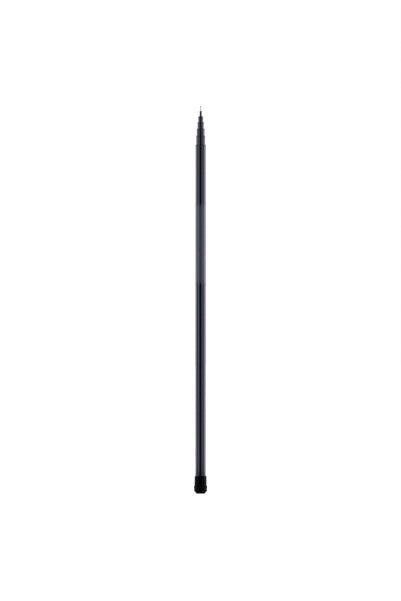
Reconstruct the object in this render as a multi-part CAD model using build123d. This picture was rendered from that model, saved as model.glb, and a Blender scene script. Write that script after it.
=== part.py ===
"""A telescopic hand pole, closed, standing on its butt cap.

Seven nested tapered tubes stand on a foam cushion inside a screw-on butt cap. Each one slides up out
of the one round it, and wedges there on a matched taper. The last is a fine tip with a line connector.
Frame: millimetres, +Z along the pole from butt to tip, origin at the centre of the butt cap's flat foot.
"""

from build123d import *
import os

# ---- Driving dimensions ----

# Heights above the foot, with the pole closed
BUTT_TOP = 1061.5  # upper end of the outermost tube
TUBE_END = 39.0  # lower end of the outermost tube, inside the butt fitting
CUSHION_TOP = 40.0  # the inner sections stand here
SLEEVE_TOP = 53.8  # upper end of the rubber sleeve on the butt fitting
FITTING_END = 24.9  # lower end of the butt fitting, above the cap's rim
RIM_LOW, RIM_TOP = 17.0, 24.4  # the cap's knurled rim, which the rubber foot meets below
GRIP_TOP = 240.0  # the handle is parallel up to here

# The sections, from the butt outwards. The seventh is the tip, which has its own dimensions below.
STANDS_OUT = [27.5, 21.0, 20.0, 17.5, 16.5]  # how far sections 2 to 6 stand out of the one round them
TOP_DIAMETERS = [31.3, 27.4, 23.9, 19.2, 14.7, 6.2]  # sections 1 to 6
WALLS = [0.95, 0.85, 0.80, 0.75, 0.70, 0.60]  # wall thickness at the top of sections 1 to 6
OVERLAPS = [150.0, 130.0, 110.0, 90.0, 70.0, 50.0]  # length of each friction joint when pulled out
FIT_GAP = 0.05  # radial gap in a friction joint when pulled out
BASE_GAP = 0.1  # between the cushion and the ends of the sections
EDGE = 0.25  # bevel on the ends of the tubes

# Handle, which is section 1
GRIP_RADIUS = 16.1
SEAT_RADIUS = 15.9  # below the grip, where the tube is ground down for the butt fitting and the whipping
BUTT_BORE_RADIUS = 15.25  # up to the top of the grip
BAND_LOW, BAND_TOP, BAND_THICKNESS = 632.0, 884.0, 0.10  # printed band
WRAP_TOP, WRAP_THICKNESS = 66.0, (0.30, 0.22)  # thread whipping above the butt fitting, at its ends

# Whippings at the top of each section
BUTT_RING_HEIGHT, RING_HEIGHT, RING_THICKNESS = 7.0, 4.5, 0.15

# Butt fitting: a threaded bush glued over the tube's end, in a rubber sleeve
BUSH_RADIUS, BUSH_TOP = 17.5, 52.0
SHOULDER_RADIUS, SHOULDER_LOW = 15.15, 37.5
SLEEVE_LOW_RADIUS, SLEEVE_TOP_RADIUS = 19.0, 18.55
GLUE_GAP = 0.05
SLEEVE_GROOVES = [47.6, 49.9]  # heights of two shallow rings round the sleeve
SLEEVE_GROOVE_RADIUS = 0.35

# Screw thread between the butt fitting and the cap
PITCH = 2.5
SPIGOT_RADIUS, SPIGOT_TOP = 15.65, 36.8  # root of the cap's thread
RIDGE_HEIGHT, RIDGE_ROOT, RIDGE_CREST = 0.80, 1.60, 0.80
RIDGE_START, RIDGE_TURNS = 27.2, 3.5
THREAD_CLEARANCE = 0.15

# Cap
RIM_RADIUS, KNURLS, KNURL_RADIUS, KNURL_DEPTH = 20.6, 36, 1.1, 0.55
CUP_RADIUS, CUP_FLOOR = 14.8, 20.5  # the cup that holds the cushion
STUB_RADIUS, BARB_RADIUS = 11.0, 13.0  # what the rubber foot grips
STUB_LOW, BARB_TOP = 5.0, 8.0
SEAL_RADII, SEAL_THICKNESS = (16.7, 18.7), 0.45
FOOT_RADIUS, WAIST_RADIUS, BASE_RADIUS = 20.5, 20.1, 13.6
WAIST_LOW, BEVEL_TOP, BEVEL_LOW = 11.2, 8.4, 1.2  # the foot's waist ends and its sloping edge begins and ends
TREADS, TREAD_WIDTH, TREAD_DEPTH = 12, 1.6, 0.9
CUSHION_RADIUS, CUSHION_EDGE, CUSHION_FLUTES, FLUTE_RADIUS = 14.6, 0.3, 3, 1.2
CUSHION_GAP = 0.05

# Tip section: a hollow tube, a solid end spliced into it, and a line connector
TIP_TUBE_TOP, TIP_TUBE_TOP_RADIUS = 900.0, 1.5
TIP_BORE_RADII = (1.5, 0.9)  # at the lower end and in the splice
SPLICE_LENGTH, SPLICE_GAP = 40.0, 0.02
SPLICE_WRAP_REACH, SPLICE_WRAP_THICKNESS = 7.0, 0.12
TIP_RADII = (1.45, 0.45)  # the solid end at the splice and in the connector
TIP_END = 1172.0
STEM_LOW, STEM_TOP = 1165.5, 1180.0
STEM_COLLAR_TOP, STEM_COLLAR_RADIUS = 1169.0, 0.95
STEM_RADIUS, STEM_BORE_RADIUS, STEM_BORE_TOP = 0.78, 0.48, 1172.4
HOOK_LOW, HOOK_TOP, HOOK_DEPTH = 1175.3, 1176.5, 0.9
LOCK_LOW, LOCK_LENGTH, LOCK_RADII = 1173.6, 4.6, (0.84, 1.10)

# ---- What follows from them ----

SECTION_BASE = CUSHION_TOP + BASE_GAP
TOPS = [BUTT_TOP]
for step in STANDS_OUT:
    TOPS.append(TOPS[-1] + step)


def between(z, low, high):
    """The radius at height z on the straight line from low to high, each (radius, height)."""
    share = (z - low[1]) / (high[1] - low[1])
    return low[0] + share * (high[0] - low[0])


def turned(points):
    """A solid of revolution about Z from (radius, height) points."""
    face = Plane.XZ * make_face(Polyline(*points, close=True))
    return revolve(face, Axis.Z)


def ring(inner, outer, low, high):
    """A plain ring about Z."""
    return turned([(inner, low), (outer, low), (outer, high), (inner, high)])


def around(shape, count):
    """Copies of shape turned about Z, evenly spaced."""
    return [Rot(0, 0, i * 360 / count) * shape for i in range(count)]


def save(name, shape):
    shape.label = name
    export_step(shape, f"parts/{name}.step")


def section_profiles():
    """For sections 1 to 6, the outer and the bore line, each a list of (radius, height) from the bottom up.

    The lower part of each inner section has the taper of the bore that it wedges in.
    """
    seat = [(SEAT_RADIUS, TUBE_END), (SEAT_RADIUS, WRAP_TOP)]
    outer = [[*seat, (GRIP_RADIUS, WRAP_TOP), (GRIP_RADIUS, GRIP_TOP), (TOP_DIAMETERS[0] / 2, BUTT_TOP)]]
    parallel = [(BUTT_BORE_RADIUS, TUBE_END), (BUTT_BORE_RADIUS, GRIP_TOP)]
    bore = [[*parallel, (TOP_DIAMETERS[0] / 2 - WALLS[0], BUTT_TOP)]]
    for k in range(1, len(TOPS)):
        low, high = wedge_radii(bore[k - 1], OVERLAPS[k - 1])
        spigot_top = SECTION_BASE + OVERLAPS[k - 1]
        outer.append([(low, SECTION_BASE), (high, spigot_top), (TOP_DIAMETERS[k] / 2, TOPS[k])])
        bore.append([(r - WALLS[k], z) for r, z in outer[k]])
    return outer, bore


def wedge_radii(bore_line, overlap):
    """Outer radii, at its bottom and top, of the part of a section that wedges in the top of bore_line."""
    top_radius, top = bore_line[-1]
    low = between(top - overlap, bore_line[-2], bore_line[-1])
    return low - FIT_GAP, top_radius - FIT_GAP


OUTER, BORE = section_profiles()


def outer_radius(k, z):
    """Outer radius of section k + 1 at height z, in its upper tapered part."""
    return between(z, OUTER[k][-2], OUTER[k][-1])


# ---- Sections ----


def tube(outer, bore):
    """A tapered tube with bevelled ends."""
    (low_r, low), (top_r, top) = outer[0], outer[-1]
    low_end = [(low_r - EDGE, low), (low_r, low + EDGE)]
    top_end = [(top_r, top - EDGE), (top_r - EDGE, top)]
    return turned(low_end + outer[1:-1] + top_end + bore[::-1])


def whipping(k, low, high, thickness):
    """A wound and varnished band on the tapered upper part of section k + 1."""
    inner_low, inner_high = outer_radius(k, low), outer_radius(k, high)
    return turned(
        [(inner_low, low), (inner_low + thickness, low), (inner_high + thickness, high), (inner_high, high)]
    )


def butt_wrap():
    """The whipping between the butt fitting and the grip, on the tube's seat."""
    low, high = WRAP_THICKNESS
    return turned(
        [
            (SEAT_RADIUS, SLEEVE_TOP),
            (SEAT_RADIUS + low, SLEEVE_TOP),
            (SEAT_RADIUS + high, WRAP_TOP),
            (SEAT_RADIUS, WRAP_TOP),
        ]
    )


def butt_top_ring():
    """The whipping at the top of the handle, parallel outside so that a transport plug can slide over it."""
    low, high = BUTT_TOP - BUTT_RING_HEIGHT, BUTT_TOP - EDGE
    outside = TOP_DIAMETERS[0] / 2 + RING_THICKNESS
    inner_low, inner_high = outer_radius(0, low), outer_radius(0, high)
    return turned([(inner_low, low), (outside, low), (outside, high), (inner_high, high)])


# ---- Butt fitting ----


def helix_ridge(root_radius, height, root_width, crest_width, start, turns):
    """A trapezium swept along a right-handed helix."""
    path = Pos(0, 0, start) * Helix(pitch=PITCH, height=PITCH * turns, radius=root_radius)
    section = Plane(origin=path @ 0, x_dir=(1, 0, 0), z_dir=path % 0)
    root, crest = root_width / 2, crest_width / 2
    corners = [(0, -root), (height, -crest), (height, crest), (0, root)]
    return sweep(section * Polygon(*corners, align=None), path=path, is_frenet=True)


def thread_bush():
    """The threaded bush, with a socket for the tube above a shoulder, and the cap's thread below it."""
    bore = SPIGOT_RADIUS + THREAD_CLEARANCE
    socket = SEAT_RADIUS + GLUE_GAP
    socket_low = TUBE_END - 2 * GLUE_GAP
    body = turned(
        [
            (bore, FITTING_END),
            (BUSH_RADIUS, FITTING_END),
            (BUSH_RADIUS, BUSH_TOP),
            (socket, BUSH_TOP),
            (socket, socket_low),
            (SHOULDER_RADIUS, socket_low),
            (SHOULDER_RADIUS, SHOULDER_LOW),
            (bore, SHOULDER_LOW),
        ]
    )
    lead_turns = 2  # the groove begins this many turns below the ridge, outside the mouth
    run_out = 0.1  # and ends this part of a turn past it
    depth = RIDGE_HEIGHT + 2 * THREAD_CLEARANCE
    groove = helix_ridge(
        SPIGOT_RADIUS - THREAD_CLEARANCE / 2,
        depth,
        RIDGE_ROOT + 3 * THREAD_CLEARANCE,
        RIDGE_CREST + 2 * THREAD_CLEARANCE,
        RIDGE_START - lead_turns * PITCH,
        RIDGE_TURNS + lead_turns + run_out,
    )
    return body - groove


def ferrule_sleeve():
    """The rubber sleeve over the bush, with a lip on the tube and two shallow rings."""
    lip = SEAT_RADIUS + GLUE_GAP
    inside = BUSH_RADIUS
    step = BUSH_TOP + GLUE_GAP
    body = turned(
        [
            (inside, FITTING_END),
            (SLEEVE_LOW_RADIUS, FITTING_END),
            (SLEEVE_TOP_RADIUS, SLEEVE_TOP),
            (lip, SLEEVE_TOP),
            (lip, step),
            (inside, step),
        ]
    )
    rim = [e for e in body.edges() if abs(e.center().Z - SLEEVE_TOP) < 0.01 and e.radius > lip + 1]
    body = fillet(rim, 1.2)
    for height in SLEEVE_GROOVES:
        radius = between(height, (SLEEVE_LOW_RADIUS, FITTING_END), (SLEEVE_TOP_RADIUS, SLEEVE_TOP))
        body -= Pos(0, 0, height) * Torus(radius + SLEEVE_GROOVE_RADIUS / 3, SLEEVE_GROOVE_RADIUS)
    return body


# ---- Butt cap ----


def cap_core():
    """The moulded cap: a barbed stub for the foot, a knurled rim, and a threaded spigot round the cup."""
    bevel = 0.5
    body = turned(
        [
            (0, STUB_LOW),
            (BARB_RADIUS - bevel, STUB_LOW),
            (BARB_RADIUS, STUB_LOW + bevel),
            (BARB_RADIUS, BARB_TOP),
            (STUB_RADIUS, BARB_TOP),
            (STUB_RADIUS, RIM_LOW),
            (RIM_RADIUS - bevel, RIM_LOW),
            (RIM_RADIUS, RIM_LOW + bevel),
            (RIM_RADIUS, RIM_TOP - bevel),
            (RIM_RADIUS - bevel, RIM_TOP),
            (SPIGOT_RADIUS, RIM_TOP),
            (SPIGOT_RADIUS, SPIGOT_TOP - bevel),
            (SPIGOT_RADIUS - bevel, SPIGOT_TOP),
            (CUP_RADIUS, SPIGOT_TOP),
            (CUP_RADIUS, CUP_FLOOR),
            (0, CUP_FLOOR),
        ]
    )
    embedded = 0.1
    ridge = helix_ridge(
        SPIGOT_RADIUS - embedded, RIDGE_HEIGHT + embedded, RIDGE_ROOT, RIDGE_CREST, RIDGE_START, RIDGE_TURNS
    )
    height = RIM_TOP - RIM_LOW
    notch_middle = RIM_RADIUS + KNURL_RADIUS - KNURL_DEPTH
    notch = Pos(notch_middle, 0, RIM_LOW + height / 2) * Cylinder(KNURL_RADIUS, height + 1)
    return (body + ridge) - around(notch, KNURLS)


def cap_foot():
    """The rubber foot, gripped by the stub's barb, with treads cut across its sloping edge."""
    edge = 0.6
    body = turned(
        [
            (0, 0),
            (BASE_RADIUS - edge, 0),
            (BASE_RADIUS, edge),
            (BASE_RADIUS, BEVEL_LOW),
            (FOOT_RADIUS, BEVEL_TOP),
            (FOOT_RADIUS, BEVEL_TOP + edge),
            (WAIST_RADIUS, WAIST_LOW),
            (WAIST_RADIUS, RIM_LOW - edge),
            (WAIST_RADIUS - edge, RIM_LOW),
            (STUB_RADIUS, RIM_LOW),
            (STUB_RADIUS, BARB_TOP),
            (BARB_RADIUS, BARB_TOP),
            (BARB_RADIUS, STUB_LOW),
            (0, STUB_LOW),
        ]
    )
    run, rise = FOOT_RADIUS - BASE_RADIUS, BEVEL_TOP - BEVEL_LOW
    slope = Vector(run, 0, rise).normalized()
    middle = Vector((FOOT_RADIUS + BASE_RADIUS) / 2, 0, (BEVEL_TOP + BEVEL_LOW) / 2)
    plane = Plane(origin=middle, x_dir=slope, z_dir=(rise, 0, -run))
    cut = plane * Box(3 * run, TREAD_WIDTH, 2 * TREAD_DEPTH)
    return body - around(cut, TREADS)


def cap_cushion():
    """The foam disc that the sections stand on, with flutes down its side for air and water."""
    low = CUP_FLOOR + CUSHION_GAP
    edge = CUSHION_EDGE
    body = turned(
        [
            (0, low),
            (CUSHION_RADIUS - edge, low),
            (CUSHION_RADIUS, low + edge),
            (CUSHION_RADIUS, CUSHION_TOP - edge),
            (CUSHION_RADIUS - edge, CUSHION_TOP),
            (0, CUSHION_TOP),
        ]
    )
    height = CUSHION_TOP - low
    flute = Pos(CUSHION_RADIUS, 0, low + height / 2) * Cylinder(FLUTE_RADIUS, height + 1)
    return body - around(flute, CUSHION_FLUTES)


# ---- Tip section ----


def tip_base_line():
    """Outer line of the tip section's hollow part, wedge first."""
    low, high = wedge_radii(BORE[-1], OVERLAPS[-1])
    return [
        (low, SECTION_BASE),
        (high, SECTION_BASE + OVERLAPS[-1]),
        (TIP_TUBE_TOP_RADIUS, TIP_TUBE_TOP),
    ]


def tip_tube():
    low_bore, splice_bore = TIP_BORE_RADII
    bore = [
        (low_bore, SECTION_BASE),
        (splice_bore, TIP_TUBE_TOP - SPLICE_LENGTH),
        (splice_bore, TIP_TUBE_TOP),
    ]
    return tube(tip_base_line(), bore)


def tip_solid():
    """The solid end: a spigot in the tube's splice, then a long taper."""
    spigot = TIP_BORE_RADII[1] - SPLICE_GAP
    splice_radius, end_radius = TIP_RADII
    return turned(
        [
            (0, TIP_TUBE_TOP - SPLICE_LENGTH),
            (spigot, TIP_TUBE_TOP - SPLICE_LENGTH),
            (spigot, TIP_TUBE_TOP + SPLICE_GAP),
            (splice_radius, TIP_TUBE_TOP + SPLICE_GAP),
            (end_radius, STEM_LOW),
            (end_radius, TIP_END),
            (0, TIP_END),
        ]
    )


def tip_splice_wrap():
    """A short whipping over the end of the tube where the solid tip begins."""
    tube_line = tip_base_line()
    low, high = TIP_TUBE_TOP - SPLICE_WRAP_REACH, TIP_TUBE_TOP + SPLICE_WRAP_REACH
    low_radius = between(low, tube_line[-2], tube_line[-1])
    outside = low_radius + SPLICE_WRAP_THICKNESS
    return turned(
        [
            (low_radius, low),
            (outside, low),
            (outside - SPLICE_WRAP_THICKNESS / 2, high),
            (TIP_TUBE_TOP_RADIUS, high),
            (TIP_TUBE_TOP_RADIUS, TIP_TUBE_TOP),
        ]
    )


def connector_stem():
    """The stem glued on the tip, with a collar that stops the lock and a notch that hooks the line's loop."""
    dome = STEM_RADIUS * 0.6
    body = turned(
        [
            (STEM_BORE_RADIUS, STEM_LOW),
            (STEM_COLLAR_RADIUS - 0.2, STEM_LOW),
            (STEM_COLLAR_RADIUS, STEM_LOW + 0.5),
            (STEM_COLLAR_RADIUS, STEM_COLLAR_TOP - 0.1),
            (STEM_COLLAR_RADIUS - 0.1, STEM_COLLAR_TOP),
            (STEM_RADIUS, STEM_COLLAR_TOP),
            (STEM_RADIUS, STEM_TOP - dome),
            (STEM_RADIUS * 0.86, STEM_TOP - dome * 0.45),
            (STEM_RADIUS * 0.5, STEM_TOP),
            (0, STEM_TOP),
            (0, STEM_BORE_TOP),
            (STEM_BORE_RADIUS, STEM_BORE_TOP),
        ]
    )
    width, height = 4 * STEM_RADIUS, HOOK_TOP - HOOK_LOW
    notch = Pos(STEM_RADIUS - HOOK_DEPTH + width / 2, 0, HOOK_LOW + height / 2) * Box(width, width, height)
    return body - notch


# ---- Output ----

os.makedirs("parts", exist_ok=True)

save("handle_tube", tube(OUTER[0], BORE[0]))
save("handle_top_ring", butt_top_ring())
save("graphic_band", whipping(0, BAND_LOW, BAND_TOP, BAND_THICKNESS))
save("handle_lower_whipping", butt_wrap())
save("thread_bush", thread_bush())
save("ferrule_sleeve", ferrule_sleeve())
for k in range(1, len(TOPS)):
    save(f"section_{k + 1}_tube", tube(OUTER[k], BORE[k]))
    ring_top = TOPS[k] - EDGE
    save(f"section_{k + 1}_top_ring", whipping(k, ring_top - RING_HEIGHT, ring_top, RING_THICKNESS))
save("cap_core", cap_core())
save("cap_foot", cap_foot())
save("cap_seal", ring(*SEAL_RADII, RIM_TOP, RIM_TOP + SEAL_THICKNESS))
save("cap_cushion", cap_cushion())
save("tip_tube", tip_tube())
save("tip_solid", tip_solid())
save("tip_splice_whipping", tip_splice_wrap())
save("connector_stem", connector_stem())
save("connector_lock", ring(*LOCK_RADII, LOCK_LOW, LOCK_LOW + LOCK_LENGTH))
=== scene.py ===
"""The looks of a closed telescopic hand pole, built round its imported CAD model.

The tubes, windings, printed band, sleeve, foot and solid tip are turned again here, finer than in CAD and
with rounded edges. The other pieces keep their CAD meshes and get a better material. The pole stands on a
pale floor in a bright surround, which has a dark gap on the camera's side. The gap draws the dark line down
the middle of the gloss.
"""

import math

import bpy
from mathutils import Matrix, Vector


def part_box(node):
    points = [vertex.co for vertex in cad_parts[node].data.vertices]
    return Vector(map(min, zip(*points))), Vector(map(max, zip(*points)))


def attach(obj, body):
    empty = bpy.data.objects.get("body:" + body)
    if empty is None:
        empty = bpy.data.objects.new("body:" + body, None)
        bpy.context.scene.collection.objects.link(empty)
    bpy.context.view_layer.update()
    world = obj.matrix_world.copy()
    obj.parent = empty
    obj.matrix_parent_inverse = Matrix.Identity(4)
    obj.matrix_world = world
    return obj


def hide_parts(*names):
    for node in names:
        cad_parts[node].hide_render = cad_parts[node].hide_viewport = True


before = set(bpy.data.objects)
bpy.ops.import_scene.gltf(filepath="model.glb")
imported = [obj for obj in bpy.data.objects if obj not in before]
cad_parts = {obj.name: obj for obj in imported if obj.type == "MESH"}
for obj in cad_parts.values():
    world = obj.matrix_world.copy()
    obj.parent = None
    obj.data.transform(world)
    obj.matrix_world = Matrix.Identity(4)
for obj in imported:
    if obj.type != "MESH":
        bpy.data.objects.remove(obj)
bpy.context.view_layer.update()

MM = 0.001
TAU = 2 * math.pi

# ---- Camera: level with the middle of the picture, which shows 1.83 m of height at the pole ----

FRAME_HEIGHT = 1.8282
CAMERA_HEIGHT = 0.5874
CAMERA_ASIDE = -0.0004
CAMERA_ROLL = 0.0004
LENS, SENSOR = 300.0, 36.0

# ---- Shapes ----

FINE, COARSE = 128, 48  # sides of a turned piece: handle-sized, and on the tip
SLEEVE_SIDES, FOOT_SIDES = 192, 504
LONGEST_RUN = 25 * MM  # rings along a tube are no further apart
BORE_SHARE = 0.12  # share of its true size that a hidden bore gets in the texture map
TUBE_ROUNDING, WINDING_ROUNDING, BAND_ROUNDING = 0.22 * MM, 0.13 * MM, 0.04 * MM
SLEEVE_ROUNDING, FOOT_ROUNDING, TIP_ROUNDING = 0.35 * MM, 0.5 * MM, 0.1 * MM
WINDING_CROWN = 0.01 * MM  # how much fuller a winding is in its middle
BAND_FADE = 16 * MM  # length over which the printed band fades at each end
PAINTED_DOWN = 2 * MM  # how far below the fifth section's top the sixth section's paint begins

# The rubber foot's outline, in millimetres as in CAD
FOOT_RADIUS, WAIST_RADIUS, BASE_RADIUS = 20.5, 20.1, 13.6
BEVEL_LOW, BEVEL_TOP, WAIST_LOW, FOOT_TOP = 1.2, 8.4, 11.2, 17.0
STUB_RADIUS, BARB_RADIUS, STUB_LOW, BARB_TOP = 11.0, 13.0, 5.0, 8.0
FOOT_EDGE = 0.6

# Its treads and its wear
TREADS, TREAD_WIDTH, TREAD_DEPTH = 12, 1.6 * MM, 0.9 * MM  # cut across the sloping edge
TREAD_SLOPE = 0.36 * MM  # width of each side wall of a tread's groove
SCUFFED_BELOW = 5 * MM


def straightened(points, slack=1.5e-6):
    """The points without those on the straight line between their neighbours."""
    kept = [points[0]]
    for (r, z), (r1, z1) in zip(points[1:-1], points[2:]):
        r0, z0 = kept[-1]
        across, up = r1 - r0, z1 - z0
        if abs((r - r0) * up - (z - z0) * across) > slack * math.hypot(across, up):
            kept.append((r, z))
    return kept + [points[-1]]


def cad_lines(node):
    """A round CAD node's outer line and bore line, as corners (radius, height) from the bottom up."""
    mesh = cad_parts[node].data
    outer, bore = {}, {}
    for face in mesh.polygons:
        across = math.hypot(face.center.x, face.center.y)
        facing = (face.normal.x * face.center.x + face.normal.y * face.center.y) / max(across, 1e-9)
        if abs(facing) > 0.2:
            line = outer if facing > 0 else bore
            for i in face.vertices:
                x, y, z = mesh.vertices[i].co
                line.setdefault(round(z, 6), set()).add(round(math.hypot(x, y), 6))
    made = []
    for line in (outer, bore):
        points = []
        for z, radii in sorted(line.items()):
            last = points[-1][0] if points else min(radii)
            points += [(r, z) for r in sorted(radii, key=lambda radius: abs(radius - last))]
        made.append(straightened(points) if points else [])
    return made


def rounded(points, radius, closed=True, steps=4, least_turn=0.3):
    """The outline with each real corner cut to a curve that starts and ends up to radius away from it."""
    made = []
    count = len(points)
    for i, (r, z) in enumerate(points):
        if not closed and i in (0, count - 1):
            made.append((r, z))
            continue
        (ra, za), (rb, zb) = points[i - 1], points[(i + 1) % count]
        back, ahead = math.hypot(ra - r, za - z), math.hypot(rb - r, zb - z)
        turn = abs(math.remainder(math.atan2(zb - z, rb - r) - math.atan2(z - za, r - ra), TAU))
        if turn < least_turn:
            made.append((r, z))
            continue
        reach_back, reach_ahead = min(radius, 0.45 * back), min(radius, 0.45 * ahead)
        start = (r + (ra - r) * reach_back / back, z + (za - z) * reach_back / back)
        end = (r + (rb - r) * reach_ahead / ahead, z + (zb - z) * reach_ahead / ahead)
        for s in range(steps + 1):
            t = s / steps
            a, b, c = (1 - t) ** 2, 2 * t * (1 - t), t * t
            made.append((a * start[0] + b * r + c * end[0], a * start[1] + b * z + c * end[1]))
    return made


def divided(points, longest, closed=True):
    """The outline with its runs cut into equal steps no longer than longest."""
    made = []
    ends = points[1:] + (points[:1] if closed else [])
    for (r, z), (rb, zb) in zip(points, ends):
        steps = max(1, math.ceil(math.hypot(rb - r, zb - z) / longest))
        made += [(r + (rb - r) * s / steps, z + (zb - z) * s / steps) for s in range(steps)]
    return made if closed else made + [points[-1]]


def turned(name, outline, sides, materials, closed=True, shift=None, skin=None):
    """A mesh turned about Z from an outline of (radius, height) that goes up outside and down inside.

    An open outline starts and ends on the axis. shift(radius, height, angle) gives a vertex's own radius and
    height, and skin(run start, run end) the index of the material between two rings. The texture map runs
    round the piece and along the outline.
    """
    count = len(outline)
    runs = [(i, (i + 1) % count) for i in range(count if closed else count - 1)]
    poles = () if closed else (0, count - 1)
    skin = skin or (lambda start, end: 0)

    vertices, place = [], {}
    for i, (r, z) in enumerate(outline):
        for j in range(1 if i in poles else sides):
            angle = TAU * j / sides
            rr, zz = shift(r, z, angle) if shift and i not in poles else (r, z)
            place[i, j] = len(vertices)
            vertices.append((rr * math.cos(angle), rr * math.sin(angle), zz))

    along = [0.0]
    for a, b in runs:
        (r0, z0), (r1, z1) = outline[a], outline[b]
        share = 1.0 if z1 > z0 - 1e-9 else BORE_SHARE
        along.append(along[-1] + share * math.hypot(r1 - r0, z1 - z0))

    faces, maps, skins = [], [], []
    for k, (a, b) in enumerate(runs):
        low, high = along[k] / along[-1], along[k + 1] / along[-1]
        for j in range(sides):
            near, far = j / sides, (j + 1) / sides
            after = (j + 1) % sides
            if a in poles:
                faces.append((place[a, 0], place[b, after], place[b, j]))
                maps.append(((near, low), (far, high), (near, high)))
            elif b in poles:
                faces.append((place[a, j], place[a, after], place[b, 0]))
                maps.append(((near, low), (far, low), (near, high)))
            else:
                faces.append((place[a, j], place[a, after], place[b, after], place[b, j]))
                maps.append(((near, low), (far, low), (far, high), (near, high)))
            skins.append(skin(outline[a], outline[b]))

    mesh = bpy.data.meshes.new(name)
    mesh.from_pydata(vertices, [], faces)
    layer = mesh.uv_layers.new(name="OFBake")
    for face, corners in zip(mesh.polygons, maps):
        for loop, uv in zip(face.loop_indices, corners):
            layer.data[loop].uv = uv
    for material in materials:
        mesh.materials.append(material)
    mesh.polygons.foreach_set("material_index", skins)
    mesh.shade_smooth()
    mesh.set_sharp_from_angle(angle=math.radians(50))
    mesh.update()
    piece = bpy.data.objects.new(name, mesh)
    bpy.context.scene.collection.objects.link(piece)
    return piece


def install(piece, body, slot, *nodes):
    """Puts a piece on its body, in place of the CAD nodes that it stands for."""
    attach(piece, body)
    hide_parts(*nodes)


# ---- Materials ----


def add_node(tree, kind, *inputs, **settings):
    """A node in a shader tree. Inputs fill its sockets in order, and None leaves one as it is."""
    node = tree.nodes.new(kind)
    for key, value in settings.items():
        setattr(node, key, value)
    for socket, value in zip(node.inputs, inputs):
        if isinstance(value, bpy.types.NodeSocket):
            tree.links.new(value, socket)
        elif value is not None:
            socket.default_value = value
    return node


def add_math(tree, operation, *inputs):
    return add_node(tree, "ShaderNodeMath", *inputs, operation=operation).outputs[0]


class Look:
    """A material round one Principled shader, with short ways to add nodes to it."""

    def __init__(self, name, **constants):
        self.material = bpy.data.materials.new(name)
        self.material.use_nodes = True
        self.tree = self.material.node_tree
        self.surface = self.tree.nodes["Principled BSDF"]
        for socket, value in constants.items():
            self.surface.inputs[socket.replace("_", " ")].default_value = value
        self.where = self.add("ShaderNodeTexCoord").outputs["Object"]
        self.x, self.y, self.z = self.add("ShaderNodeSeparateXYZ", self.where).outputs

    def add(self, kind, *inputs, **settings):
        return add_node(self.tree, kind, *inputs, **settings)

    def math(self, operation, *inputs):
        return add_math(self.tree, operation, *inputs)

    def turn(self):
        """The angle round the pole as a share of a full turn, from -0.5 to 0.5."""
        return self.math("DIVIDE", self.math("ARCTAN2", self.y, self.x), TAU)

    def spread(self, value, low, high, to_low, to_high):
        """value, from low to high, mapped smoothly to the range to_low to to_high."""
        node = self.add("ShaderNodeMapRange", value, low, high, to_low, to_high)
        node.interpolation_type = "SMOOTHSTEP"
        return node.outputs[0]

    def noise(self, size, stretch=1.0, detail=3.0, rough=0.55):
        """Noise with grains of about that size in metres, drawn out along Z by stretch."""
        drawn_out = (1, 1, 1 / stretch)
        scaled = self.add("ShaderNodeVectorMath", self.where, drawn_out, operation="MULTIPLY").outputs[0]
        node = self.add("ShaderNodeTexNoise", scaled)
        node.inputs["Scale"].default_value = 1 / size
        node.inputs["Detail"].default_value = detail
        node.inputs["Roughness"].default_value = rough
        return node.outputs[0]

    def mix(self, factor, first, second):
        """Colours first and second, each a triple or a socket, mixed by factor."""
        node = self.add("ShaderNodeMix", data_type="RGBA")
        for socket, value in zip((node.inputs[0], node.inputs[6], node.inputs[7]), (factor, first, second)):
            if isinstance(value, bpy.types.NodeSocket):
                self.tree.links.new(value, socket)
            else:
                socket.default_value = value if isinstance(value, float) else (*value, 1.0)
        return node.outputs[2]

    def drive(self, socket, value):
        self.tree.links.new(value, self.surface.inputs[socket])

    def bump(self, height, depth, socket="Normal"):
        """Relief on the surface, or on its coat, where height 1 stands depth metres above height 0."""
        node = self.add("ShaderNodeBump")
        node.inputs["Strength"].default_value = 1.0
        node.inputs["Distance"].default_value = depth
        self.tree.links.new(height, node.inputs["Height"])
        self.tree.links.new(node.outputs[0], self.surface.inputs[socket])


NAVY, NAVY_DEEP = (0.0215, 0.0265, 0.0600), (0.0130, 0.0160, 0.0370)
PRINT, PRINT_DEEP = (0.0303, 0.0326, 0.0463), (0.0251, 0.0273, 0.0392)
# Each pair of winding colours: painted shade in the grooves between the turns, then the thread on its crests
DARK_THREAD = (0.0092, 0.0113, 0.0240), (0.0167, 0.0207, 0.0460)  # between the turns, and on them
BLACK_THREAD = (0.0006, 0.0006, 0.0012), (0.0030, 0.0034, 0.0090)


def fibres(look):
    """Fine lengthwise streaks, from 0 to 1: the fibres of the composite under its coat."""
    fine = look.noise(0.25 * MM, stretch=120, detail=2)
    broad = look.noise(1.8 * MM, stretch=60, detail=2)
    return look.math("ADD", look.math("MULTIPLY", fine, 0.6), look.math("MULTIPLY", broad, 0.4))


def windings(look, pitch, leads):
    """The ply lines that cross round the tube, from 0 to 1: two opposed helices of the given pitch."""
    turn = look.turn()
    height = look.math("DIVIDE", look.z, pitch)
    right = look.math("SINE", look.math("MULTIPLY", look.math("ADD", height, turn), TAU * leads))
    left = look.math("SINE", look.math("MULTIPLY", look.math("SUBTRACT", height, turn), TAU * leads))
    crossing = look.math("MULTIPLY", right, left)
    return look.math("MULTIPLY_ADD", crossing, 0.5, 0.5)


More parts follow.
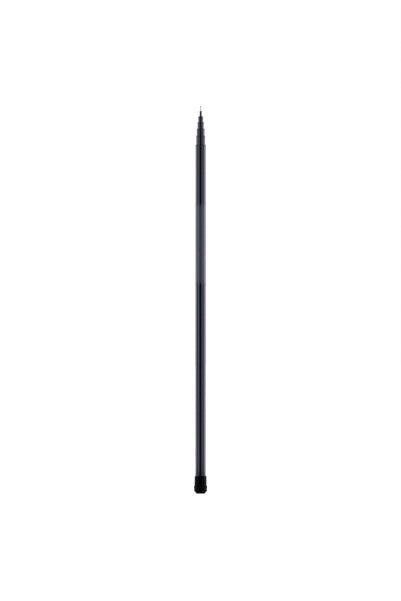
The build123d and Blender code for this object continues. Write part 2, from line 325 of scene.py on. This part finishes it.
def lacquer(name):
    """Dark navy composite under a clear coat, with painted shade that darkens it where the handle enters its
    fitting.
    """
    look = Look(name, Metallic=1.0, Coat_Weight=1.0, Coat_Roughness=0.035, Coat_IOR=1.5)
    streaks = look.spread(fibres(look), 0.35, 0.65, 0.0, 1.0)
    plies = windings(look, 46 * MM, 2)
    grain = look.math("MULTIPLY_ADD", plies, 0.25, look.math("MULTIPLY", streaks, 0.75))
    # painted shade: the base colour fades towards black over the stretch just above the fitting
    shade_near_fitting = look.spread(look.z, 62 * MM, 115 * MM, 0.6, 1.0)
    look.drive("Base Color", look.mix(shade_near_fitting, (0.0, 0.0, 0.0), look.mix(grain, NAVY_DEEP, NAVY)))
    look.drive("Roughness", look.spread(streaks, 0.0, 1.0, 0.27, 0.20))
    look.bump(look.noise(2.2 * MM, stretch=3, detail=1), 0.006 * MM, "Coat Normal")
    return look.material


def black_paint():
    """Thin satin black on the end of the slimmest tube, a little uneven along it."""
    look = Look("black_paint", Specular_IOR_Level=0.15)
    flow = look.noise(0.9 * MM, stretch=4, detail=3)
    look.drive("Base Color", look.mix(flow, (0.0008, 0.0008, 0.0010), (0.0030, 0.0030, 0.0034)))
    look.drive("Roughness", look.spread(flow, 0.3, 0.7, 0.24, 0.36))
    look.bump(flow, 0.008 * MM)
    return look.material


def raw_composite():
    """The uncoated bore and cut ends of a tube: dull, with the ridges that its wrapping tape left."""
    look = Look("raw_composite", Specular_IOR_Level=0.3)
    streaks = look.spread(fibres(look), 0.3, 0.7, 0.0, 1.0)
    look.drive("Base Color", look.mix(streaks, (0.008, 0.008, 0.009), (0.022, 0.022, 0.024)))
    look.drive("Roughness", look.spread(streaks, 0.0, 1.0, 0.62, 0.48))
    along = look.math("ADD", look.math("DIVIDE", look.z, 2.4 * MM), look.turn())
    tape = look.math("SINE", look.math("MULTIPLY", along, TAU))
    look.bump(tape, 0.012 * MM)
    return look.material


def printed(low, top, fade):
    """The plain dark grey print under the handle's clear coat, which fades into the navy at both ends."""
    look = Look("printed_grey", Coat_Weight=1.0, Coat_Roughness=0.035, Coat_IOR=1.55, Specular_IOR_Level=0.45,
                Specular_Tint=(0.25, 0.45, 1.0, 1.0))
    streaks = look.spread(fibres(look), 0.35, 0.65, 0.0, 1.0)
    to_end = look.math("MINIMUM", look.math("SUBTRACT", look.z, low), look.math("SUBTRACT", top, look.z))
    cover = look.math("DIVIDE", to_end, fade)
    grain = look.noise(0.6 * MM, detail=2)
    grainy = look.math("ADD", look.math("MULTIPLY_ADD", cover, 1.2, -0.2), look.math("MULTIPLY", grain, 0.2))
    shown = look.add("ShaderNodeClamp", grainy).outputs[0]
    ground = look.mix(streaks, NAVY_DEEP, NAVY)
    look.drive("Base Color", look.mix(shown, ground, look.mix(streaks, PRINT_DEEP, PRINT)))
    look.drive("Metallic", look.math("MULTIPLY_ADD", shown, -0.95, 1.0))
    look.drive("Roughness", look.math("MULTIPLY_ADD", shown, 0.20, 0.22))
    look.bump(look.noise(2.2 * MM, stretch=3, detail=1), 0.006 * MM, "Coat Normal")
    return look.material


def whipping(name, gap, crest, metal, gloss, thread=0.24 * MM):
    """Thread wound round the tube, one turn beside the next, under varnish that nearly fills it. The grooves
    between the turns get painted shade, darker than the crests.
    """
    look = Look(name, Metallic=metal, Coat_Weight=1.0, Coat_Roughness=0.045, Coat_IOR=gloss,
                Specular_IOR_Level=0.2)
    along = look.math("ADD", look.math("DIVIDE", look.z, thread), look.turn())
    strand = look.spread(look.math("PINGPONG", along, 0.5), 0.0, 0.5, 0.0, 1.0)
    twist = look.noise(0.12 * MM, stretch=0.6, detail=1)
    # painted shade: the colour darkens from each crest down into the groove between turns
    look.drive("Base Color", look.mix(look.math("MULTIPLY", strand, twist), gap, crest))
    look.drive("Roughness", look.spread(strand, 0.0, 1.0, 0.40, 0.26))
    look.bump(strand, 0.010 * MM)
    wave = look.math("MULTIPLY_ADD", strand, 0.25, look.noise(1.5 * MM, detail=1))
    look.bump(wave, 0.003 * MM, "Coat Normal")
    return look.material


def rubber(name, scuffed_below=None):
    """Deep black rubber with a fine moulded grain, and dusty scuffs below a height."""
    look = Look(name, Specular_IOR_Level=0.05)
    grain = look.noise(0.35 * MM, detail=4, rough=0.6)
    cloud = look.noise(7 * MM, detail=2)
    colour = look.mix(cloud, (0.0003, 0.0003, 0.0003), (0.0009, 0.0009, 0.0009))
    if scuffed_below is not None:
        low = look.spread(look.z, 0.0, scuffed_below, 1.0, 0.0)
        marks = look.spread(look.noise(1.3 * MM, detail=5, rough=0.7), 0.54, 0.72, 0.0, 0.5)
        colour = look.mix(look.math("MULTIPLY", low, marks), colour, (0.006, 0.0055, 0.005))
    look.drive("Base Color", colour)
    look.drive("Roughness", look.spread(cloud, 0.3, 0.7, 0.15, 0.24))
    look.bump(grain, 0.012 * MM)
    return look.material


def moulded(name, dark, light, roughness, specular, grain_size=0.3 * MM, depth=0.012 * MM):
    """Moulded nylon: a fine spark-eroded grain, a little cloudy in colour."""
    look = Look(name, Specular_IOR_Level=specular)
    look.drive("Base Color", look.mix(look.noise(5 * MM, detail=3), dark, light))
    cloud = look.noise(2 * MM, detail=2)
    look.drive("Roughness", look.spread(cloud, 0.3, 0.7, roughness - 0.06, roughness + 0.06))
    look.bump(look.noise(grain_size, detail=2), depth)
    return look.material


def foam():
    """Closed-cell foam, with small pores in its cut skin, which are coloured darker as painted shade."""
    look = Look("foam_black", Roughness=0.9, Specular_IOR_Level=0.1)
    cells = look.add("ShaderNodeTexVoronoi", look.where)
    cells.inputs["Scale"].default_value = 1 / (0.7 * MM)
    pore = look.spread(cells.outputs["Distance"], 0.1, 0.6, 0.0, 1.0)
    # painted shade: the sunken pores are coloured darker than the skin round them
    look.drive("Base Color", look.mix(pore, (0.035, 0.035, 0.036), (0.012, 0.012, 0.012)))
    look.bump(look.math("SUBTRACT", 1.0, pore), 0.15 * MM)
    return look.material


def tip_fibre():
    """Solid ground fibre under thin grey varnish, with the rings that centreless grinding leaves."""
    look = Look("tip_fibre", Coat_Weight=0.6, Coat_Roughness=0.1, Coat_IOR=1.5, Specular_IOR_Level=0.4)
    streaks = fibres(look)
    rings = look.math("SINE", look.math("DIVIDE", look.z, 0.11 * MM))
    look.drive("Base Color", look.mix(streaks, (0.055, 0.056, 0.060), (0.115, 0.117, 0.122)))
    look.drive("Roughness", look.spread(streaks, 0.3, 0.7, 0.32, 0.46))
    look.bump(rings, 0.002 * MM)
    return look.material


# ---- The pole ----


def tube(node, body, slot, materials, sides, painted_from=None):
    """A tube with the first material outside and the second on its ends and bore.

    The third material is the paint outside above painted_from.
    """
    outer, bore = cad_lines(node)
    if painted_from:
        (r0, z0), (r1, z1) = outer[-3:-1]
        outer.insert(-2, (r0 + (r1 - r0) * (painted_from - z0) / (z1 - z0), painted_from))
    outline = rounded(outer + bore[::-1], TUBE_ROUNDING)

    def skin(start, end):
        if end[1] < start[1] + 1e-7:
            return 1
        return 2 if painted_from and start[1] > painted_from - 1e-7 else 0

    piece = turned(f"{node}_shell", divided(outline, LONGEST_RUN), sides, materials, skin=skin)
    install(piece, body, slot, node)


def winding(node, body, material, sides, crown=WINDING_CROWN):
    """A wound band with soft edges, slightly fuller in its middle."""
    outer, bore = cad_lines(node)
    (_, low), (_, top) = outer[0], outer[-1]
    outline = divided(rounded(outer + bore[::-1], WINDING_ROUNDING), 0.6 * MM)

    def fuller(r, z, angle):
        share = (z - low) / (top - low)
        mid_wall = (outer[0][0] + bore[0][0]) / 2 + (bore[-1][0] - bore[0][0]) * share
        outside = r > mid_wall
        return r + (crown * (1 - (2 * share - 1) ** 4) if outside else 0.0), z

    piece = turned(f"{node}_thread", outline, sides, [material], shift=fuller)
    install(piece, body, "whipping_varnish", node)


def dress(node, material):
    """A better material on a CAD node that stays as it is."""
    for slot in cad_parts[node].material_slots:
        slot.link = "OBJECT"
        slot.material = material


def build_tubes():
    raw = raw_composite()
    navy = lacquer("navy_lacquer")
    slot = "lacquered_composite"
    tube("handle_tube", "handle", slot, [navy, raw], FINE)
    for k in range(2, 6):
        tube(f"section_{k}_tube", f"section_{k}", slot, [navy, raw], FINE)
    black_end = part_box("section_5_tube")[1].z - PAINTED_DOWN
    tube("section_6_tube", "section_6", slot, [navy, raw, black_paint()], FINE, painted_from=black_end)
    tube("tip_tube", "tip", slot, [navy, raw], COARSE)


def build_band():
    low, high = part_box("graphic_band")
    outer, bore = cad_lines("graphic_band")
    outline = divided(rounded(outer + bore[::-1], BAND_ROUNDING), 6 * MM)
    piece = turned("graphic_band_film", outline, FINE, [printed(low.z, high.z, BAND_FADE)])
    install(piece, "handle", "graphic_print", "graphic_band")


def build_windings():
    navy = whipping("navy_whipping", NAVY_DEEP, NAVY, metal=1.0, gloss=1.46)
    dark = whipping("dark_whipping", *DARK_THREAD, metal=1.0, gloss=1.40)
    black = whipping("black_whipping", *BLACK_THREAD, metal=0.0, gloss=1.36)
    winding("handle_top_ring", "handle", navy, FINE)
    winding("handle_lower_whipping", "handle", dark, FINE, crown=0.0)
    for k in range(2, 7):
        winding(f"section_{k}_top_ring", f"section_{k}", navy if k < 5 else black, FINE)
    winding("tip_splice_whipping", "tip", black, COARSE, crown=0.0)


def build_sleeve(material):
    """The rubber sleeve, with its lip turned over softly at both ends."""
    outer, bore = cad_lines("ferrule_sleeve")
    outline = divided(rounded(outer + bore[::-1], SLEEVE_ROUNDING, least_turn=0.6), 1.2 * MM)
    piece = turned("ferrule_sleeve_rubber", outline, SLEEVE_SIDES, [material])
    install(piece, "handle", "rubber", "ferrule_sleeve")


def build_foot(material):
    """The rubber foot, with soft-edged treads cut across its sloping edge and hollow for the cap's barb."""
    corners = [
        (0, 0),
        (BASE_RADIUS - FOOT_EDGE, 0),
        (BASE_RADIUS, FOOT_EDGE),
        (BASE_RADIUS, BEVEL_LOW),
        (FOOT_RADIUS, BEVEL_TOP),
        (FOOT_RADIUS, BEVEL_TOP + FOOT_EDGE),
        (WAIST_RADIUS, WAIST_LOW),
        (WAIST_RADIUS, FOOT_TOP - FOOT_EDGE),
        (WAIST_RADIUS - FOOT_EDGE, FOOT_TOP),
        (STUB_RADIUS, FOOT_TOP),
        (STUB_RADIUS, BARB_TOP),
        (BARB_RADIUS, BARB_TOP),
        (BARB_RADIUS, STUB_LOW),
        (0, STUB_LOW),
    ]
    corners = [(r * MM, z * MM) for r, z in corners]
    outline = divided(rounded(corners, FOOT_ROUNDING, closed=False), 0.5 * MM, closed=False)
    (low_radius, low_height), (top_radius, top_height) = corners[3:5]  # the sloping edge's ends
    mid_radius, mid_height = (low_radius + top_radius) / 2, (low_height + top_height) / 2
    run, rise = top_radius - low_radius, top_height - low_height
    out, down = rise / math.hypot(run, rise), -run / math.hypot(run, rise)

    def treads(r, z, angle):
        aside = r * abs(math.sin(math.remainder(angle, TAU / TREADS)))
        share = min(max(((TREAD_WIDTH + TREAD_SLOPE) / 2 - aside) / TREAD_SLOPE, 0.0), 1.0)
        proud = max((r - mid_radius) * out + (z - mid_height) * down + TREAD_DEPTH, 0.0)
        push = proud * share * share * (3 - 2 * share)
        return r - out * push, z - down * push

    piece = turned("cap_foot_rubber", outline, FOOT_SIDES, [material], closed=False, shift=treads)
    install(piece, "cap", "rubber", "cap_foot")


def build_tip():
    """The solid tip, from its spigot in the tube to its end in the connector."""
    outer, _ = cad_lines("tip_solid")
    outline = [(0.0, outer[0][1])] + outer + [(0.0, outer[-1][1])]
    outline = divided(rounded(outline, TIP_ROUNDING, closed=False), 12 * MM, closed=False)
    piece = turned("tip_solid_fibre", outline, COARSE, [tip_fibre()], closed=False)
    install(piece, "tip", "tip_fibre", "tip_solid")


def dress_the_rest():
    nylon = moulded("black_nylon", (0.0005, 0.0005, 0.0005), (0.0014, 0.0014, 0.0014), 0.30, specular=0.07)
    for node in ("cap_core", "thread_bush"):
        dress(node, nylon)
    dress("cap_seal", rubber("seal_rubber"))
    dress("cap_cushion", foam())
    grey = moulded("grey_nylon", (0.008, 0.008, 0.0085), (0.016, 0.016, 0.0165), 0.42, specular=0.25,
                   grain_size=0.08 * MM, depth=0.003 * MM)
    for node in ("connector_stem", "connector_lock"):
        dress(node, grey)


# ---- Floor, light and camera ----

# How bright the surround is at each bearing in degrees, from 0 towards the camera, up to the picture's right
SURROUND = [
    (-180, 0.75), (-150, 0.7), (-118, 1.1), (-98, 2.1), (-84, 1.0), (-73, 0.25), (-60, 0.55), (-47, 1.7),
    (-36, 0.9), (-25, 0.22), (-14, 0.05), (-7, 0.03), (8, 0.03), (14, 0.2), (22, 0.65), (32, 0.9),
    (42, 1.2), (54, 0.6), (67, 0.3), (81, 1.3), (97, 3.8), (112, 1.7), (145, 0.7), (180, 0.75),
]
PEAK = 4.0  # no value above is more than this
ABOVE_AND_BELOW = 0.35  # share of that brightness well above and below the level
LEVEL, STEEP = 0.3, 0.6  # upward part of a direction where the brightness begins and stops falling
FLOOR_SIZE = 60.0
SUN = 3.2


def make_world():
    """A white backdrop to the camera. Light and reflections come from a surround that is dark behind it."""
    world = bpy.data.worlds.new("studio")
    bpy.context.scene.world = world
    world.use_nodes = True
    tree = world.node_tree
    tree.nodes.clear()

    way = add_node(tree, "ShaderNodeSeparateXYZ", add_node(tree, "ShaderNodeTexCoord").outputs["Generated"])
    x, y, z = way.outputs
    angle = add_math(tree, "ARCTAN2", x, add_math(tree, "MULTIPLY", y, -1.0))
    bearing = add_math(tree, "ADD", add_math(tree, "DIVIDE", angle, TAU), 0.5)
    ramp = add_node(tree, "ShaderNodeValToRGB", bearing)
    stops = ramp.color_ramp.elements
    stops.remove(stops[1])
    for i, (at, value) in enumerate(SURROUND):
        stop = stops[0] if i == 0 else stops.new(0.5 + at / 360)
        stop.position = 0.5 + at / 360
        stop.color = (value / PEAK, value / PEAK, value / PEAK, 1.0)
    upward = add_math(tree, "ABSOLUTE", z)
    share = add_node(tree, "ShaderNodeMapRange", upward, LEVEL, STEEP, 1.0, ABOVE_AND_BELOW).outputs[0]
    shade = add_math(tree, "MULTIPLY", ramp.outputs[0], share)
    seen = add_node(tree, "ShaderNodeBackground", (1.0, 1.0, 1.0, 1.0), 1.0)
    lit = add_node(tree, "ShaderNodeBackground", shade, PEAK)
    to_camera = add_node(tree, "ShaderNodeLightPath").outputs["Is Camera Ray"]
    mixed = add_node(tree, "ShaderNodeMixShader", to_camera, lit.outputs[0], seen.outputs[0])
    add_node(tree, "ShaderNodeOutputWorld", mixed.outputs[0])


def make_floor():
    mesh = bpy.data.meshes.new("floor")
    s = FLOOR_SIZE / 2
    mesh.from_pydata([(-s, -s, 0), (s, -s, 0), (s, s, 0), (-s, s, 0)], [], [(0, 1, 2, 3)])
    look = Look("pale_floor", Roughness=0.8, Specular_IOR_Level=0.1)
    look.drive("Base Color", look.mix(look.noise(0.4), (0.88, 0.88, 0.88), (0.91, 0.91, 0.91)))
    mesh.materials.append(look.material)
    floor = bpy.data.objects.new("floor", mesh)
    floor.visible_glossy = False  # the gloss shows the surround down to the foot
    bpy.context.scene.collection.objects.link(floor)
    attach(floor, "cushion")  # it stays under the foot when the cap unscrews


def make_light():
    """One very soft light from above, which whitens the floor and leaves a faint shadow round the foot."""
    light = bpy.data.lights.new("overhead", "SUN")
    light.energy = SUN
    light.angle = math.radians(90)
    lamp = bpy.data.objects.new("overhead", light)
    lamp.location = (0, 0, 3)
    lamp.visible_glossy = False
    bpy.context.scene.collection.objects.link(lamp)


def make_camera():
    data = bpy.data.cameras.new("camera")
    data.lens, data.sensor_width = LENS, SENSOR
    camera = bpy.data.objects.new("camera", data)
    camera.location = (CAMERA_ASIDE, -FRAME_HEIGHT * LENS / SENSOR, CAMERA_HEIGHT)
    camera.rotation_euler = (math.pi / 2, 0, 0)
    camera.rotation_euler.rotate_axis("Z", CAMERA_ROLL)
    bpy.context.scene.collection.objects.link(camera)
    bpy.context.scene.camera = camera
    bpy.context.scene.view_settings.view_transform = "Standard"


make_camera()
make_world()
make_floor()
make_light()
build_tubes()
build_band()
build_windings()
build_sleeve(rubber("sleeve_rubber"))
build_foot(rubber("foot_rubber", scuffed_below=SCUFFED_BELOW))
build_tip()
dress_the_rest()
